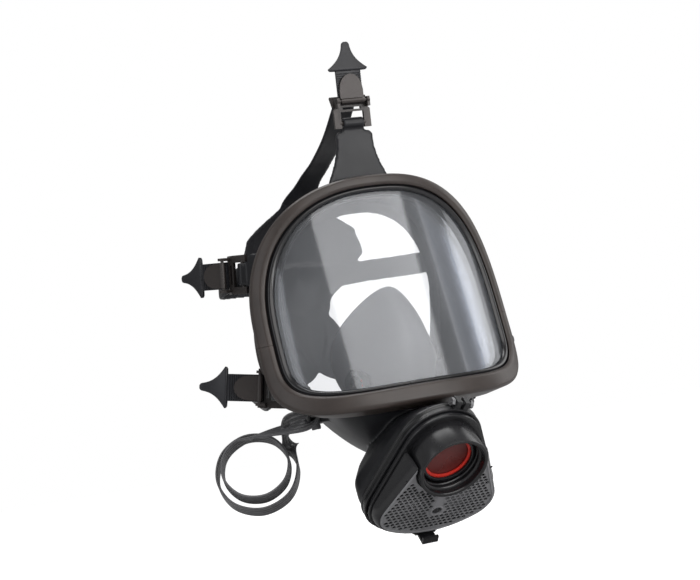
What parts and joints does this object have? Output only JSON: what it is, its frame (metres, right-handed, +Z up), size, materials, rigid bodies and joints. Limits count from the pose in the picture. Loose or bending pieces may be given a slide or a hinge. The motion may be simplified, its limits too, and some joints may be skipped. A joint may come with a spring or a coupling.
{
  "type": "full face respirator",
  "caption": "Full face respirator with a wide curved visor, rubber facepiece and nose cup, round-thread connector, valve housing, buckled head harness and carrying strap.",
  "frame": {"origin": "middle of the whole object's box, on the symmetry plane of the mask, inside the face opening", "axes": "+Z up the wearer's face, -Y the way the wearer looks, +X the wearer's left"},
  "size_m": [0.237, 0.2456, 0.3354],
  "materials": {
    "clear_lens": "clear moulded polycarbonate, polished",
    "gasket_rubber": "black rubber, slightly glossy",
    "face_rubber": "black moulded rubber, satin",
    "strap_rubber": "black rubber strap, fine ribs",
    "carry_rubber": "dark grey rubber strap, four grooves",
    "frame_plastic": "dark brown-grey moulded plastic, fine grain",
    "housing_plastic": "black moulded plastic, smooth",
    "cover_plastic": "dark grey moulded plastic, fine grain",
    "cup_rubber": "grey soft rubber, satin",
    "buckle_metal": "dark brown coated steel, satin",
    "steel": "stainless steel, turned",
    "red_silicone": "red silicone rubber, smooth",
    "disc_film": "dark red translucent rubber, smooth"
  },
  "bodies": {
    "root": {"valve_housing": "housing_plastic", "clamp_band": "housing_plastic", "clamp_screw": "steel", "clamp_nut": "steel", "sealing_washer": "gasket_rubber", "inhalation_valve_seat": "red_silicone", "exhalation_valve_seat": "housing_plastic", "speech_diaphragm": "steel", "diaphragm_ring": "housing_plastic", "valve_cover": "cover_plastic", "visor": "clear_lens", "visor_gasket": "gasket_rubber", "upper_frame": "frame_plastic", "lower_frame": "frame_plastic", "frame_screw_right": "steel", "frame_nut_right": "steel", "frame_screw_left": "steel", "frame_nut_left": "steel", "facepiece": "face_rubber", "nose_cup_valve_seat_right": "housing_plastic", "nose_cup_valve_seat_left": "housing_plastic", "nose_cup": "cup_rubber", "head_harness": "strap_rubber"},
    "buckle_top": {"buckle_frame_top": "buckle_metal"},
    "lever_top": {"buckle_lever_top": "buckle_metal"},
    "tail_top": {"strap_end_top": "strap_rubber"},
    "buckle_temple_right": {"buckle_frame_temple_right": "buckle_metal"},
    "lever_temple_right": {"buckle_lever_temple_right": "buckle_metal"},
    "tail_temple_right": {"strap_end_temple_right": "strap_rubber"},
    "buckle_temple_left": {"buckle_frame_temple_left": "buckle_metal"},
    "lever_temple_left": {"buckle_lever_temple_left": "buckle_metal"},
    "tail_temple_left": {"strap_end_temple_left": "strap_rubber"},
    "buckle_cheek_right": {"buckle_frame_cheek_right": "buckle_metal"},
    "lever_cheek_right": {"buckle_lever_cheek_right": "buckle_metal"},
    "tail_cheek_right": {"strap_end_cheek_right": "strap_rubber"},
    "buckle_cheek_left": {"buckle_frame_cheek_left": "buckle_metal"},
    "lever_cheek_left": {"buckle_lever_cheek_left": "buckle_metal"},
    "tail_cheek_left": {"strap_end_cheek_left": "strap_rubber"},
    "inhalation_flap": {"inhalation_valve_disc": "disc_film"},
    "exhalation_flap": {"exhalation_valve_disc": "red_silicone", "exhalation_valve_spring": "steel"},
    "cup_flap_right": {"nose_cup_valve_disc_right": "red_silicone"},
    "cup_flap_left": {"nose_cup_valve_disc_left": "red_silicone"},
    "clip": {"cover_clip": "housing_plastic"},
    "carry": {"carrying_strap": "carry_rubber"}
  },
  "joints": [
    {"name": "buckle_tilt_top", "type": "hinge", "parent": "root", "child": "buckle_top", "pos_m": [0, -0.04123, 0.11456], "axis": [1, 0, 0], "range_deg": [-6, 40]},
    {"name": "lever_open_top", "type": "hinge", "parent": "buckle_top", "child": "lever_top", "pos_m": [0, -0.04811, 0.12799], "axis": [1, 0, 0], "range_deg": [0, 50]},
    {"name": "tail_pull_top", "type": "slide", "parent": "buckle_top", "child": "tail_top", "axis": [0, -0.1701, 0.9854], "range_m": [0, 0.02]},
    {"name": "buckle_tilt_temple_right", "type": "hinge", "parent": "root", "child": "buckle_temple_right", "pos_m": [-0.0805, -0.00223, 0.02756], "axis": [0.0693, -0.1201, 0.9903], "range_deg": [-6, 40]},
    {"name": "lever_open_temple_right", "type": "hinge", "parent": "buckle_temple_right", "child": "lever_temple_right", "pos_m": [-0.09153, 0.00787, 0.02956], "axis": [0.0693, -0.1201, 0.9903], "range_deg": [0, 50]},
    {"name": "tail_pull_temple_right", "type": "slide", "parent": "buckle_temple_right", "child": "tail_temple_right", "axis": [-0.4952, 0.8577, 0.1387], "range_m": [0, 0.02]},
    {"name": "buckle_tilt_temple_left", "type": "hinge", "parent": "root", "child": "buckle_temple_left", "pos_m": [0.0805, -0.00223, 0.02756], "axis": [0.0693, 0.1201, -0.9903], "range_deg": [-6, 40]},
    {"name": "lever_open_temple_left", "type": "hinge", "parent": "buckle_temple_left", "child": "lever_temple_left", "pos_m": [0.09153, 0.00787, 0.02956], "axis": [0.0693, 0.1201, -0.9903], "range_deg": [0, 50]},
    {"name": "tail_pull_temple_left", "type": "slide", "parent": "buckle_temple_left", "child": "tail_temple_left", "axis": [0.4952, 0.8577, 0.1387], "range_m": [0, 0.02]},
    {"name": "buckle_tilt_cheek_right", "type": "hinge", "parent": "root", "child": "buckle_cheek_right", "pos_m": [-0.0702, -0.01323, -0.05244], "axis": [0.1697, -0.1071, 0.9797], "range_deg": [-6, 40]},
    {"name": "lever_open_cheek_right", "type": "hinge", "parent": "buckle_cheek_right", "child": "lever_cheek_right", "pos_m": [-0.08449, -0.00935, -0.04954], "axis": [0.1697, -0.1071, 0.9797], "range_deg": [0, 50]},
    {"name": "tail_pull_cheek_right", "type": "slide", "parent": "buckle_cheek_right", "child": "tail_cheek_right", "axis": [-0.8228, 0.5318, 0.2007], "range_m": [0, 0.02]},
    {"name": "buckle_tilt_cheek_left", "type": "hinge", "parent": "root", "child": "buckle_cheek_left", "pos_m": [0.0702, -0.01323, -0.05244], "axis": [0.1697, 0.1071, -0.9797], "range_deg": [-6, 40]},
    {"name": "lever_open_cheek_left", "type": "hinge", "parent": "buckle_cheek_left", "child": "lever_cheek_left", "pos_m": [0.08449, -0.00935, -0.04954], "axis": [0.1697, 0.1071, -0.9797], "range_deg": [0, 50]},
    {"name": "tail_pull_cheek_left", "type": "slide", "parent": "buckle_cheek_left", "child": "tail_cheek_left", "axis": [0.8228, 0.5318, 0.2007], "range_m": [0, 0.02]},
    {"name": "inhalation_flap_lift", "type": "slide", "parent": "root", "child": "inhalation_flap", "axis": [0, 0.712, 0.7022], "range_m": [0, 0.002]},
    {"name": "exhalation_flap_lift", "type": "slide", "parent": "root", "child": "exhalation_flap", "axis": [0, -0.712, -0.7022], "range_m": [0, 0.0008]},
    {"name": "cup_flap_lift_right", "type": "slide", "parent": "root", "child": "cup_flap_right", "axis": [0.8645, 0.5026, 0], "range_m": [0, 0.0015]},
    {"name": "cup_flap_lift_left", "type": "slide", "parent": "root", "child": "cup_flap_left", "axis": [-0.8645, 0.5026, 0], "range_m": [0, 0.0015]},
    {"name": "clip_open", "type": "hinge", "parent": "root", "child": "clip", "pos_m": [0, -0.04158, -0.15943], "axis": [1, 0, 0], "range_deg": [0, 55]},
    {"name": "carrying_strap_swing", "type": "hinge", "parent": "root", "child": "carry", "pos_m": [0, -0.02423, -0.07644], "axis": [1, 0, 0], "range_deg": [-6, 6]}
  ]
}
